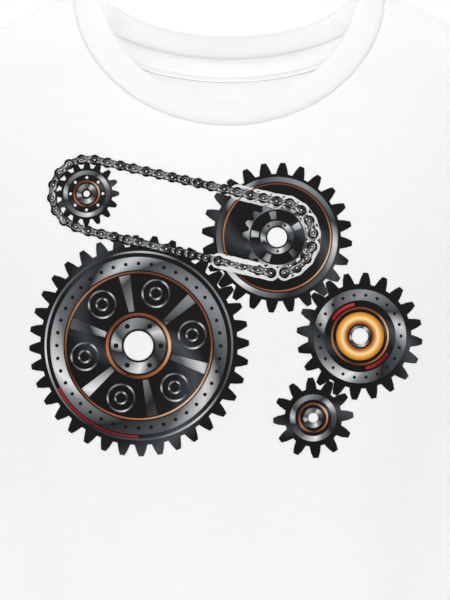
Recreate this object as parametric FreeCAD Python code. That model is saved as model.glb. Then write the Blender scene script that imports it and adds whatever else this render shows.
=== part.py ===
"""White crew-neck T-shirt, in the shape it takes on a wearer, with a transfer print on its chest.

Origin midway between the neck ends of the two shoulder seams, +Z up, front towards -Y,
the wearer's left arm towards +X. All lengths in millimetres.
"""

import FreeCAD, Part
import math
import os

from FreeCAD import Vector

doc = FreeCAD.newDocument("tee_shirt")

# Driving dimensions. A drop is measured down from the neck end of the shoulder seam.
SIZES = [
    ("hem_drop", 720, "hem, and so the length of the body"),
    ("cloth", 1.2, "thickness of the jersey cloth with its pile"),
    ("seam_gap", 0.3, "room between two layers that are sewn to each other"),
    ("hem_depth", 22, "height of the turned-up body hem"),
    ("neck_half_width", 110, "half the width between the neck ends of the shoulder seams"),
    ("neck_half_depth", 20, "roundness of the shoulder ridge at the neck"),
    ("front_neck_drop", 101, "lowest point of the front neckline seam"),
    ("back_neck_drop", 50, "lowest point of the back neckline seam"),
    ("shoulder_half_width", 222, "half the width between the shoulder points"),
    ("shoulder_drop", 60, "shoulder point"),
    ("shoulder_front", 60, "depth of the front at the shoulder point's height"),
    ("shoulder_back", 54, "depth of the back there"),
    ("collarbone_drop", 101, "height at which the chest starts to fill the cloth"),
    ("collarbone_half_width", 240, "half width there, measured inside the sleeve"),
    ("collarbone_front", 77, "depth of the front there"),
    ("collarbone_back", 68, "depth of the back there"),
    ("chest_drop", 190, "fullest part of the chest"),
    ("chest_half_width", 243, "half width there, measured inside the sleeve"),
    ("chest_front", 103, "depth of the front there"),
    ("chest_back", 86, "depth of the back there"),
    ("underarm_drop", 284, "underarm point, where side seam, sleeve and armhole meet"),
    ("underarm_half_width", 218, "half width there"),
    ("underarm_front", 109, "depth of the front there"),
    ("underarm_back", 88, "depth of the back there"),
    ("waist_drop", 440, "waist"),
    ("waist_half_width", 216, "half width there"),
    ("waist_front", 107, "depth of the front there"),
    ("waist_back", 85, "depth of the back there"),
    ("hem_half_width", 230, "half width at the hem"),
    ("hem_front", 110, "depth of the front there"),
    ("hem_back", 96, "depth of the back there"),
    ("armhole_inset", 12, "how far the armhole seam curves in from a straight line"),
    ("armhole_half_depth", 51, "half the depth of the sleeve beside the armhole"),
    ("sleeve_angle", 40, "slope of the sleeve below the horizontal, in degrees"),
    ("sleeve_length", 205, "from the shoulder point to the sleeve hem"),
    ("sleeve_hem_depth", 20, "width of the turned-up sleeve hem"),
    ("mouth_half_height", 78, "half the height of the sleeve's mouth"),
    ("mouth_half_depth", 48, "half the depth of the sleeve's mouth"),
    ("collar_width", 20, "width of the folded rib of the collar"),
    ("collar_thickness", 2.6, "thickness of the folded rib"),
    ("tape_width", 12, "width of the tape over the back neck seam"),
    ("tape_thickness", 0.8, "thickness of that tape"),
    ("print_top", 118, "drop of the print's top edge"),
    ("print_height", 212, "height of the transfer print"),
    ("print_film", 0.4, "thickness of the print's film"),
]
sheet = doc.addObject("Spreadsheet::Sheet", "Sizes")
for row, (alias, value, note) in enumerate(SIZES, start=1):
    sheet.set(f"A{row}", note)
    sheet.set(f"B{row}", str(value))
    sheet.setAlias(f"B{row}", alias)
doc.recompute()


def size(alias):
    """A driving dimension as the sheet holds it."""
    return float(sheet.get(alias))


# The torso in the cloth: at each drop a level oval, as half width, front depth and back depth.
LEVELS = ("shoulder", "collarbone", "chest", "underarm", "waist", "hem")
ROUNDING = 0.19  # how much deeper than half way the torso is, half way along the shoulder


def oval(level):
    """The torso's half width, front depth and back depth at a level."""
    return Vector(*(size(f"{level}_{part}") for part in ("half_width", "front", "back")))


# The cloth is laid out past the neckline, to a quarter of the shoulder's drop above it, and the
# neckline is then cut out of it.
NECK_RISE = size("shoulder_drop") / 4
neck_oval = Vector(size("neck_half_width"), size("neck_half_depth"), size("neck_half_depth"))
slope_oval = (neck_oval + oval("shoulder")) / 2
slope_oval += Vector(0, oval("shoulder").y - neck_oval.y, oval("shoulder").z - neck_oval.z) * ROUNDING
top_oval = neck_oval - Vector((slope_oval.x - neck_oval.x) / 2, neck_oval.y / 3, neck_oval.z / 3)
drops = [-NECK_RISE, 0, size("shoulder_drop") / 2, *(size(f"{level}_drop") for level in LEVELS)]
torso = Part.BSplineCurve()
torso.interpolate(Points=[top_oval, neck_oval, slope_oval, *map(oval, LEVELS)], Parameters=drops)


def torso_point(drop, turn, facing, inwards):
    """A point of the torso's cloth, as far inwards of its outer face as asked.

    turn runs from -90 degrees on the right side to 90 on the left, facing is -1 on the front
    and 1 on the back. Over the shoulders the cloth lies flatter, so its thickness goes down too.
    """
    half_width, *depths = torso.value(drop)
    depth = depths[0 if facing < 0 else 1]
    down = inwards * min(1, max(0, 1 - drop / size("underarm_drop")))
    across = (half_width - inwards) * math.sin(turn)
    return Vector(across, facing * (depth - inwards) * math.cos(turn), -drop - down)


def evenly(start, end, count):
    """Count values from start to end."""
    return [start + (end - start) * number / (count - 1) for number in range(count)]


def surface_through(point, firsts, seconds, inwards):
    """A smooth surface through point(first, second, inwards) for all firsts and seconds."""
    surface = Part.BSplineSurface()
    surface.interpolate([[point(first, second, inwards) for second in seconds] for first in firsts])
    return surface


def rim(surface, end):
    """The edge of a surface along its first row of points, end 0, or its last, end 1."""
    return surface.uIso(surface.bounds()[end]).toShape()


def side(surface, end):
    """The edge of a surface along its first column of points, end 0, or its last, end 1."""
    return surface.vIso(surface.bounds()[2 + end]).toShape()


SAME_POINT = 1e-4


def flat_face(edges):
    """A flat face between edges, with straight ties where one edge's end misses the next."""
    outline = list(edges)
    for edge, following in zip(edges, edges[1:] + edges[:1]):
        pairs = [(a.Point, b.Point) for a in edge.Vertexes for b in following.Vertexes]
        start, end = min(pairs, key=lambda pair: pair[0].distanceToPoint(pair[1]))
        if start.distanceToPoint(end) > SAME_POINT:
            outline.append(Part.LineSegment(start, end).toShape())
    return Part.Face(Part.Wire(Part.__sortEdges__(outline)))


def solid_of(faces):
    """The solid inside faces that meet all round."""
    shell = Part.makeShell(faces)
    shell.sewShape(0.01)
    solid = Part.makeSolid(shell)
    return solid if solid.Volume > 0 else solid.reversed()


def layer(name, point, firsts, seconds, outside, inside):
    """A plain layer of cloth, from point(first, second, inwards) over two ranges."""
    outer, inner = (surface_through(point, firsts, seconds, inwards) for inwards in (outside, inside))
    faces = [outer.toShape(), inner.toShape()]
    faces += [Part.makeRuledSurface(rim(outer, end), rim(inner, end)) for end in (0, 1)]
    faces += [Part.makeRuledSurface(side(outer, end), side(inner, end)) for end in (0, 1)]
    return feature(name, solid_of(faces))


def hemmed_faces(outer, inner, turned):
    """The faces of a cloth's outer and inner surface and its turned-up edge, but for its sides."""
    faces = [surface.toShape() for surface in (outer, inner, turned)]
    faces.append(Part.makeRuledSurface(rim(outer, 0), rim(inner, 0)))
    faces.append(Part.makeRuledSurface(rim(inner, 1), rim(turned, 0)))
    faces.append(Part.makeRuledSurface(rim(turned, 1), rim(outer, 1)))
    return faces


def hemmed_surfaces(point, firsts, hem_firsts, seconds):
    """Outer, inner and turned-up surface of a cloth that is doubled along its last edge."""
    return (
        surface_through(point, firsts + hem_firsts[1:], seconds, 0),
        surface_through(point, firsts, seconds, size("cloth")),
        surface_through(point, hem_firsts, seconds, 2 * size("cloth")),
    )


def half_of(surface, half):
    """The first half of a surface, 0, or its second, 1, across its columns."""
    first_start, first_end, start, end = surface.bounds()
    middle = (start + end) / 2
    part = surface.copy()
    part.segment(first_start, first_end, *((start, middle), (middle, end))[half])
    return part


def feature(name, shape):
    """A piece whose shape is made here."""
    piece = doc.addObject("Part::Feature", name)
    piece.Shape = shape
    return piece


def mirrored(name, source):
    """The same piece on the wearer's other side."""
    twin = doc.addObject("Part::Mirroring", name)
    twin.Source = source
    twin.Normal = Vector(1, 0, 0)
    return twin


def fused(name, *parts):
    """One solid of several that meet or run into each other."""
    union = doc.addObject("Part::MultiFuse", name)
    union.Shapes = list(parts)
    return union


def cut(name, base, tool):
    """Base with tool taken out of it."""
    left = doc.addObject("Part::Cut", name)
    left.Base, left.Tool = base, tool
    return left


def common(name, base, tool):
    """What base and tool share."""
    shared = doc.addObject("Part::Common", name)
    shared.Base, shared.Tool = base, tool
    return shared


# Outlines drawn from the front and pushed through the shirt, to trim it. They reach past it
# everywhere but at the line that they trim.
FAR = 500
ABOVE = 60


def front_view_prism(name, face, y_from, y_to):
    """A flat face in the XZ plane pushed through the shirt from y_from to y_to."""
    face.translate(Vector(0, y_from, 0))
    return feature(name, face.extrude(Vector(0, y_to - y_from, 0)))


def oval_face(half_width, half_height):
    """A flat oval about the origin in the XZ plane, whichever of its halves is the longer."""
    longer, shorter = max(half_width, half_height), min(half_width, half_height)
    edge = Part.Ellipse(Vector(), longer, shorter).toShape()
    if half_height > half_width:
        edge.rotate(Vector(), Vector(0, 0, 1), 90)
    edge.rotate(Vector(), Vector(1, 0, 0), 90)
    return Part.Face(Part.Wire([edge]))


def lines(points):
    """Straight edges from point to point."""
    return [Part.LineSegment(start, end).toShape() for start, end in zip(points, points[1:])]


# The armhole seam, seen from the front: from the shoulder point to the underarm point,
# curved in between them.
shoulder_point = Vector(size("shoulder_half_width"), 0, -size("shoulder_drop"))
underarm_point = Vector(size("underarm_half_width"), 0, -size("underarm_drop"))
armhole_middle = (shoulder_point + underarm_point) / 2


def armhole_at(up):
    """The armhole seam's point in the front view, up from -1 at the underarm to 1 at the shoulder."""
    along = armhole_middle + (shoulder_point - underarm_point) * up / 2
    return along - Vector(size("armhole_inset") * (1 - up * up), 0, 0)


PAST_SEAM = 1.2  # the cutting line runs on past both ends of the seam, to this many half lengths
armhole_line = Part.BezierCurve()
armhole_line.setPoles(
    [
        armhole_at(PAST_SEAM),
        armhole_middle - Vector(size("armhole_inset") * (1 + PAST_SEAM**2), 0, 0),
        armhole_at(-PAST_SEAM),
    ]
)
upper_corner, lower_corner = armhole_at(PAST_SEAM), armhole_at(-PAST_SEAM)
outer_corners = [Vector(FAR, 0, lower_corner.z), Vector(FAR, 0, ABOVE), Vector(upper_corner.x, 0, ABOVE)]
outside_armhole = Part.Face(
    Part.Wire([armhole_line.toShape(), *lines([lower_corner, *outer_corners, upper_corner])])
)
left_outside = front_view_prism("left_outside", outside_armhole, -FAR, FAR)
outsides = fused("outsides", left_outside, mirrored("right_outside", left_outside))


def body_panel(name, facing, neck_drop):
    """The front or back: cloth from side seam to side seam, doubled at the hem, open at the neck."""

    def point(drop, turn, inwards):
        return torso_point(drop, turn, facing, inwards)

    hem_line = size("hem_drop") - size("hem_depth")
    over_shoulder = evenly(-NECK_RISE, size("shoulder_drop"), 7)
    below_shoulder = evenly(size("shoulder_drop"), hem_line, 12)
    surfaces = hemmed_surfaces(
        point,
        over_shoulder[:-1] + below_shoulder,
        evenly(hem_line, size("hem_drop"), 2),
        evenly(-math.pi / 2, math.pi / 2, 7),
    )
    sides = [flat_face([side(surface, end) for surface in surfaces]) for end in (0, 1)]
    whole = feature(f"{name}_cloth", solid_of(hemmed_faces(*surfaces) + sides))
    neck_face = oval_face(size("neck_half_width"), neck_drop)
    neckline = front_view_prism(f"{name}_neckline", neck_face, -FAR, FAR)
    return cut(name, whole, fused(f"{name}_offcuts", neckline, outsides))


front_panel = body_panel("front_panel", -1, size("front_neck_drop"))
back_panel = body_panel("back_panel", 1, size("back_neck_drop"))

# The sleeve: a tube that starts as the armhole seam, bends down along the arm and ends in a
# doubled hem square to it.
slope = math.radians(size("sleeve_angle"))
arm_axis = Vector(math.cos(slope), 0, -math.sin(slope))
arm_up = Vector(math.sin(slope), 0, math.cos(slope))
hem_top = shoulder_point + arm_axis * (size("sleeve_length") - size("sleeve_hem_depth"))
hem_foot = hem_top - arm_up * 2 * size("mouth_half_height")
CAP_RISE = 8  # how far the sleeve's cap stands above a straight line to its hem


def depth_at(across, drop, facing):
    """How far the torso's outer face lies from the middle plane."""
    half_width, *depths = torso.value(drop)
    return facing * depths[0 if facing < 0 else 1] * math.sqrt(max(0, 1 - (across / half_width) ** 2))


def sleeve_point(share, turn, inwards):
    """A point of the sleeve, share of the way to its hem, turn round it from the underarm seam.

    turn is 0 at the top, -180 degrees under the arm by way of the front and 180 by way of the
    back. Past 1, share counts on along the hem, which is 1 long.
    """
    facing = -1 if turn < 0 else 1
    bend = min(share, 1)
    along_hem = arm_axis * max(share - 1, 0) * size("sleeve_hem_depth")
    top = shoulder_point * (1 - bend) + hem_top * bend
    top.z += CAP_RISE * math.sin(math.pi * bend)
    foot = underarm_point * (1 - bend) + hem_foot * bend
    half = (top - foot) / 2
    half_depth = size("armhole_half_depth") * (1 - bend) + size("mouth_half_depth") * bend - inwards
    level = half * (1 - inwards / half.Length) * math.cos(turn)
    point = (top + foot) / 2 + level + Vector(0, half_depth * math.sin(turn), 0) + along_hem
    seam = armhole_at(math.cos(turn))
    straight = armhole_middle.x + (shoulder_point.x - underarm_point.x) / 2 * math.cos(turn)
    oval_depth = size("armhole_half_depth") * math.sin(turn)
    to_seam = Vector(seam.x + size("seam_gap") - straight, depth_at(seam.x, -seam.z, facing) - oval_depth, 0)
    return point + to_seam * (1 - bend) ** 2


round_arm = evenly(-math.pi, math.pi, 13)
tubes = hemmed_surfaces(sleeve_point, evenly(0, 1, 6), evenly(1, 2, 2), round_arm)
sleeve_faces = [face for half in (0, 1) for face in hemmed_faces(*(half_of(tube, half) for tube in tubes))]
left_sleeve = feature("left_sleeve", solid_of(sleeve_faces))
right_sleeve = mirrored("right_sleeve", left_sleeve)

# The collar: one ring of folded rib, sewn to the neckline with its fold upwards.
NECKLINE_SAMPLES = 28
FRONT_LEAN = (12, 16)  # how far the rib runs back and up where its front is
BACK_LEAN = (4, 19.6)  # how far it runs forward and up at the back
SIDE_LEAN = (17, 10.5)  # how far it runs inwards and up over the shoulder


def neckline_point(turn):
    """The neckline seam's point at an angle round the neck, 0 at the front, on the outer face."""
    facing = -1 if math.cos(turn) > 0 else 1
    across = size("neck_half_width") * math.sin(turn)
    drop = size("front_neck_drop" if facing < 0 else "back_neck_drop") * abs(math.cos(turn))
    return Vector(across, depth_at(across, drop, facing), -drop)


def rib_lean(turn):
    """The direction from the seam to the rib's fold at an angle round the neck."""
    back, up = FRONT_LEAN if math.cos(turn) > 0 else BACK_LEAN
    level = math.cos(turn) ** 2
    up = up * level + SIDE_LEAN[1] * (1 - level)
    return Vector(-SIDE_LEAN[0] * math.sin(turn), back * math.cos(turn), up).normalize()


def rib_profile():
    """Points round the folded rib's section, as thickness and height: square foot, round fold."""
    half, height = size("collar_thickness") / 2, size("collar_width")
    fold = [
        (half * math.cos(angle), height - half + half * math.sin(angle))
        for angle in (math.radians(step * 45) for step in range(5))
    ]
    return [(half, 0), *fold, (-half, 0)]


def closed_curve(points):
    """A smooth closed curve through points."""
    curve = Part.BSplineCurve()
    curve.interpolate(Points=points, PeriodicFlag=True)
    return curve


turns = [2 * math.pi * number / NECKLINE_SAMPLES for number in range(NECKLINE_SAMPLES)]
neckline = closed_curve([neckline_point(turn) for turn in turns])
foot_clearance = size("seam_gap") + size("collar_thickness") / 2
outlines = []
for thickness, height in rib_profile():
    points = []
    for turn, knot in zip(turns, neckline.getKnots()):
        lean = rib_lean(turn)
        outwards = neckline.tangent(knot)[0].cross(lean).normalize()
        points.append(neckline.value(knot) + lean * (foot_clearance + height) + outwards * thickness)
    outlines.append(closed_curve(points).toShape())
rib_faces = [Part.makeRuledSurface(*pair) for pair in zip(outlines, outlines[1:] + outlines[:1])]
collar_rib = feature("collar_rib", solid_of(rib_faces))

# The tape that covers the back neck seam on the inside, from shoulder seam to shoulder seam.
tape_drop = size("back_neck_drop") + size("tape_width")
tape_face = oval_face(size("neck_half_width") + size("tape_width"), tape_drop)
tape_face = tape_face.cut(oval_face(size("neck_half_width"), size("back_neck_drop"))).Faces[0]
tape_outside = size("cloth") + size("seam_gap")
tape_layer = layer(
    "tape_layer",
    lambda drop, turn, inwards: torso_point(drop, turn, 1, inwards),
    evenly(-NECK_RISE, tape_drop + NECK_RISE, 11),
    evenly(-math.pi / 2, math.pi / 2, 13),
    tape_outside,
    tape_outside + size("tape_thickness"),
)
neck_tape = common("neck_tape", tape_layer, front_view_prism("tape_outline", tape_face, 0, FAR))

# The print: a film in the outline of a train of gear wheels that mesh, and a chain drive. All of it
# is measured in the size of a tooth, and the whole is 53 of them high. A wheel's pitch circle is
# half as many tooth sizes in radius as it has teeth.
PRINT_TEETH_HIGH = 53
TEETH = (36, 24, 20, 12)
MESHING_ANGLES = (38, -50, -120)  # the way from each wheel to the next, in degrees
FIRST_WHEEL = (-15.5, -7.5)  # from the print's middle
SPROCKET = (-24.5, 18.5)  # the chain's own wheel
SPROCKET_RADIUS = 7
CHAIN_SEAT = 7.2  # radius of the chain's circle on the second wheel
CHAIN_WIDTH = 2
OUTLINE = 0.5  # bare cloth round the chain
BORE_SHARE = 0.14  # a wheel's bore, in the wheel's own radius
tooth = size("print_height") / PRINT_TEETH_HIGH
print_middle = Vector(0, 0, -size("print_top") - size("print_height") / 2)


def on_circle(middle, radius, angle):
    """A point at an angle round a circle in the XZ plane."""
    return middle + Vector(radius * math.cos(angle), 0, radius * math.sin(angle))


def disc(middle, radius):
    """A round face in the XZ plane."""
    return Part.Face(Part.Wire([Part.makeCircle(radius, middle, Vector(0, 1, 0))]))


def wheel_face(middle, teeth):
    """A gear wheel out to the middle of its teeth, with a bore."""
    radius = teeth * tooth / 2
    return disc(middle, radius - OUTLINE * tooth / 2).cut(disc(middle, radius * BORE_SHARE))


def band(start, start_radius, end, end_radius):
    """What a tight belt round two circles encloses."""
    run = end - start
    heading = math.atan2(run.z, run.x)
    spread = math.acos((start_radius - end_radius) / run.Length)
    corners = [
        on_circle(middle, radius, heading + side * spread)
        for middle, radius, side in (
            (start, start_radius, 1),
            (end, end_radius, 1),
            (end, end_radius, -1),
            (start, start_radius, -1),
        )
    ]
    between = Part.Face(Part.makePolygon(corners + corners[:1]))
    return between.fuse([disc(start, start_radius), disc(end, end_radius)]).removeSplitter()


sprocket_middle = print_middle + Vector(SPROCKET[0], 0, SPROCKET[1]) * tooth
middles = [print_middle + Vector(FIRST_WHEEL[0], 0, FIRST_WHEEL[1]) * tooth]
for last_teeth, teeth, heading in zip(TEETH, TEETH[1:], MESHING_ANGLES):
    middles.append(on_circle(middles[-1], (last_teeth + teeth) * tooth / 2, math.radians(heading)))
motifs = [wheel_face(middle, teeth) for middle, teeth in zip(middles, TEETH)]


def belt_outline(grown):
    """What the chain's band encloses, grown by some tooth sizes."""
    radii = [(radius + grown) * tooth for radius in (SPROCKET_RADIUS, CHAIN_SEAT)]
    return band(sprocket_middle, radii[0], middles[1], radii[1])


# The chain lies over the second wheel, with a bare outline round it.
motifs[1] = motifs[1].cut(belt_outline(OUTLINE)).fuse(motifs[1].common(belt_outline(-CHAIN_WIDTH - OUTLINE)))
motifs.append(belt_outline(0).cut(belt_outline(-CHAIN_WIDTH)))
motifs.append(disc(sprocket_middle, (SPROCKET_RADIUS - CHAIN_WIDTH - 2 * OUTLINE) * tooth))
film = layer(
    "film",
    lambda drop, turn, inwards: torso_point(drop, turn, -1, inwards),
    evenly(size("print_top") - tooth, size("print_top") + size("print_height") + tooth, 9),
    evenly(-math.pi / 4, math.pi / 4, 9),
    -size("seam_gap") - size("print_film"),
    -size("seam_gap"),
)
chest_print = doc.addObject("Part::Compound", "chest_print")
chest_print.Links = [
    common(f"motif_{number}", film, front_view_prism(f"motif_{number}_outline", face, -FAR, 0))
    for number, face in enumerate(motifs)
]
doc.recompute()

SUB_PARTS = [front_panel, back_panel, left_sleeve, right_sleeve, collar_rib, neck_tape, chest_print]
for thing in doc.Objects:
    if "Invalid" in thing.State or "Error" in thing.State:
        raise RuntimeError(f"{thing.Label} failed: {thing.State}")
for piece in SUB_PARTS:
    if piece.Shape.isNull() or not piece.Shape.isValid():
        raise RuntimeError(f"{piece.Label} has no valid shape")
os.makedirs("parts", exist_ok=True)
for piece in SUB_PARTS:
    print(piece.Label, len(piece.Shape.Solids), "solids", round(piece.Shape.Volume), "mm3")
    piece.Shape.exportStep(f"parts/{piece.Label}.step")
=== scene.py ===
import math

import bmesh
import bpy
import numpy as np
from mathutils import Matrix, Vector
from mathutils.bvhtree import BVHTree
from mathutils.geometry import delaunay_2d_cdt
from mathutils.kdtree import KDTree


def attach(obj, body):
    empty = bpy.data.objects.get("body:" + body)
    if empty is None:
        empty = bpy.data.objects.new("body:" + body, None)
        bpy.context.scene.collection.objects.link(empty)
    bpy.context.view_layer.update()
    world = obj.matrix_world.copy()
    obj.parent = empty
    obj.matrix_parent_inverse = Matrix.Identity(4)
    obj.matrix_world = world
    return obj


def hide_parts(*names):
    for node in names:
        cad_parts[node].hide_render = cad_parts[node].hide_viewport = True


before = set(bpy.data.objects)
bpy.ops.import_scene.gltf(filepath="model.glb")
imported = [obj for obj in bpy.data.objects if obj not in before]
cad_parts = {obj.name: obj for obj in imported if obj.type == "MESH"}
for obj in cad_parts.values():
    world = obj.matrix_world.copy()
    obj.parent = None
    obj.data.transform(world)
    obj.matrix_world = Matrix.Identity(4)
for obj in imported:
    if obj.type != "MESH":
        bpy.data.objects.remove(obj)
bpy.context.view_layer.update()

# The cloth: white cotton single jersey, cut as a front, a back and two sleeves and sewn together.
# It is laid out first as it stands on a wearer, in the levels that the CAD solids go through: the
# drop below the neck, the half width, and the depths of the front and the back, all in metres.
SPACING = 0.0065  # between neighbouring points of the cloth
CLOTH = 0.0008  # thickness of the jersey
HEM = 0.022
SLEEVE_HEM = 0.020
NECK_HALF_WIDTH = 0.110
FRONT_NECK, BACK_NECK = 0.101, 0.050  # lowest points of the neckline
LEVELS = np.array([
    (-0.015, 0.082, 0.013, 0.013), (0.000, 0.110, 0.020, 0.020), (0.030, 0.166, 0.048, 0.043),
    (0.060, 0.222, 0.060, 0.054), (0.101, 0.240, 0.077, 0.068), (0.190, 0.243, 0.103, 0.086),
    (0.284, 0.218, 0.109, 0.088), (0.440, 0.216, 0.107, 0.085), (0.720, 0.230, 0.110, 0.096),
])
LEVEL_DROPS, LEVEL_OVALS = LEVELS[:, 0], LEVELS[:, 1:]
SHOULDER, UNDERARM, LENGTH = 0.060, 0.284, 0.720


def bends(places, values):
    """Second derivatives of the smooth curve through values, with ends that don't bend."""
    steps = np.diff(places)
    matrix, right = np.eye(len(places)), np.zeros_like(values)
    for row in range(1, len(places) - 1):
        before, after = steps[row - 1], steps[row]
        matrix[row, row - 1 : row + 2] = before, 2 * (before + after), after
        slopes = (values[row + 1] - values[row]) / after - (values[row] - values[row - 1]) / before
        right[row] = 6 * slopes
    return np.linalg.solve(matrix, right)


LEVEL_BENDS = bends(LEVEL_DROPS, LEVEL_OVALS)


def oval_at(drop):
    """Half width, front depth and back depth of the body at each of several drops."""
    drop = np.atleast_1d(drop)
    row = np.clip(np.searchsorted(LEVEL_DROPS, drop, side="right") - 1, 0, len(LEVEL_DROPS) - 2)
    step = (LEVEL_DROPS[row + 1] - LEVEL_DROPS[row])[:, None]
    below = (drop - LEVEL_DROPS[row])[:, None] / step
    above = 1 - below
    curved = (above**3 - above) * LEVEL_BENDS[row] + (below**3 - below) * LEVEL_BENDS[row + 1]
    return above * LEVEL_OVALS[row] + below * LEVEL_OVALS[row + 1] + curved * step**2 / 6


def body_point(turn, drop, facing):
    """Points of the body, turned from the middle of the front, facing -1, or of the back, 1."""
    half_width, front, back = oval_at(drop).T
    depth = front if facing < 0 else back
    across = half_width * np.sin(turn)
    return np.stack([across, facing * depth * np.cos(turn), -drop * np.ones_like(turn)], 1)


def depth_at(across, drop, facing):
    """How far forward or back the body's cloth lies at places seen from the front."""
    half_width, front, back = oval_at(drop).T
    depth = front if facing < 0 else back
    return facing * depth * np.sqrt(np.clip(1 - (across / half_width) ** 2, 0, 1))


# The flat cut of a body panel: across from its middle line, and down from the neck.
GIRTH_HALF_WIDTH, GIRTH_DEPTH = 0.218, 0.100  # the oval that stands for all levels in the cut
TURNS = np.linspace(-math.pi / 2, math.pi / 2, 181)
ACROSS = (GIRTH_HALF_WIDTH + GIRTH_DEPTH) / 2 * TURNS
ACROSS += (GIRTH_HALF_WIDTH - GIRTH_DEPTH) / 4 * np.sin(2 * TURNS)
CUT_DROPS = np.linspace(-0.005, LENGTH, 200)
cut_line = body_point(np.full_like(CUT_DROPS, math.radians(60)), CUT_DROPS, -1)
CUT_DOWN = np.concatenate([[0], np.cumsum(np.linalg.norm(np.diff(cut_line, axis=0), axis=1))])


def body_flat(turn, drop):
    """Places of the body in the flat cut."""
    return np.stack([np.interp(turn, TURNS, ACROSS), np.interp(drop, CUT_DROPS, CUT_DOWN)], 1)


def body_from_flat(flat, facing):
    """Points of the body for places in the flat cut."""
    turn = np.interp(flat[:, 0], ACROSS, TURNS)
    return body_point(turn, np.interp(flat[:, 1], CUT_DOWN, CUT_DROPS), facing)


# The armhole seam and the sleeve, seen from the front.
ARMHOLE_INSET = 0.012
shoulder_point = Vector((0.222, 0, -SHOULDER))
underarm_point = Vector((0.218, 0, -UNDERARM))
SLEEVE_SLOPE = math.radians(40)
SLEEVE_LENGTH = 0.205
MOUTH_HALF_HEIGHT, MOUTH_HALF_DEPTH = 0.078, 0.048
ARMHOLE_HALF_DEPTH = 0.051
CAP_RISE = 0.008
ARMHOLE_STEPS = 2 * round(0.26 / SPACING / 2)  # on each side, from shoulder point to underarm
arm_axis = Vector((math.cos(SLEEVE_SLOPE), 0, -math.sin(SLEEVE_SLOPE)))
arm_up = Vector((math.sin(SLEEVE_SLOPE), 0, math.cos(SLEEVE_SLOPE)))
hem_top = shoulder_point + arm_axis * (SLEEVE_LENGTH - SLEEVE_HEM)
hem_foot = hem_top - arm_up * 2 * MOUTH_HALF_HEIGHT


def armhole_at(up):
    """Across and drop of the armhole seam, up from -1 at the underarm to 1 at the shoulder."""
    middle, half = (shoulder_point + underarm_point) / 2, (shoulder_point - underarm_point) / 2
    return middle.x + half.x * up - ARMHOLE_INSET * (1 - up * up), -middle.z - half.z * up


def sleeve_line(turn, share):
    """Points of the left sleeve, turned from its top, at a share of the way to its hem line."""
    bend = share[:, None]
    top = np.outer(1 - share, shoulder_point) + np.outer(share, hem_top)
    top[:, 2] += CAP_RISE * np.sin(math.pi * share)
    foot = np.outer(1 - share, underarm_point) + np.outer(share, hem_foot)
    half_depth = ARMHOLE_HALF_DEPTH * (1 - share) + MOUTH_HALF_DEPTH * share
    point = (top + foot) / 2 + (top - foot) / 2 * np.cos(turn)[:, None]
    point[:, 1] += half_depth * np.sin(turn)
    across, drop = armhole_at(np.cos(turn))
    depth = np.where(turn < 0, depth_at(across, drop, -1), depth_at(across, drop, 1))
    straight = (shoulder_point.x + underarm_point.x) / 2
    straight += (shoulder_point.x - underarm_point.x) / 2 * np.cos(turn)
    to_seam = np.stack([across - straight, depth - ARMHOLE_HALF_DEPTH * np.sin(turn), 0 * turn], 1)
    return point + to_seam * (1 - bend) ** 2


# The flat cut of a sleeve: round the arm, and up from the edge of its hem.
ARM_TURNS = np.linspace(-math.pi, math.pi, 97)
ARM_GIRTH = 0.0645  # a turn round the arm in the cut, in metres for each radian
LINE_SHARES = np.linspace(0, 1, 40)
line_points = [sleeve_line(np.full(40, turn), LINE_SHARES) for turn in ARM_TURNS]
LINE_LENGTHS = np.array([np.linalg.norm(np.diff(line, axis=0), axis=1).sum() for line in line_points])


def sleeve_flat(turn, share):
    """Places of the sleeve in its flat cut."""
    up = SLEEVE_HEM + np.interp(turn, ARM_TURNS, LINE_LENGTHS) * (1 - share)
    return np.stack([turn * ARM_GIRTH, up], 1)


def sleeve_from_flat(flat):
    """Points of the left sleeve for places in the flat cut."""
    turn = flat[:, 0] / ARM_GIRTH
    share = 1 - (flat[:, 1] - SLEEVE_HEM) / np.interp(turn, ARM_TURNS, LINE_LENGTHS)
    point = sleeve_line(turn, np.clip(share, 0, 1))
    past = np.clip(SLEEVE_HEM - flat[:, 1], 0, None)
    return point + np.outer(past, arm_axis)


def filled(outline):
    """A flat outline filled with evenly spread points, as points and triangles."""
    low, high = outline.min(0), outline.max(0)
    row_height = SPACING * math.sqrt(3) / 2
    rows = np.arange(low[1], high[1], row_height)
    columns = np.arange(low[0], high[0], SPACING)
    grid = [(x + (number % 2) * SPACING / 2, y) for number, y in enumerate(rows) for x in columns]
    grid = np.array(grid)
    start, step = outline, np.roll(outline, -1, 0) - outline
    nearest = np.full(len(grid), np.inf)
    for edge_start, edge in zip(start, step):
        along = np.clip((grid - edge_start) @ edge / (edge @ edge), 0, 1)
        nearest = np.minimum(nearest, np.linalg.norm(grid - edge_start - np.outer(along, edge), axis=1))
    kept = grid[nearest > SPACING * 0.55]
    places = [Vector(place) for place in np.concatenate([outline, kept])]
    face = list(range(len(outline)))
    places, _, faces, *_ = delaunay_2d_cdt(places, [], [face], 1, 1e-7)
    used, triangles = np.unique(np.array(faces), return_inverse=True)
    return np.array([tuple(place) for place in places])[used], triangles.reshape(-1, 3)


def run(start, end, length):
    """Evenly spread values from start to just before end, along a line of that length."""
    return np.linspace(start, end, max(2, round(length / SPACING)) + 1)[:-1]


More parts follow.
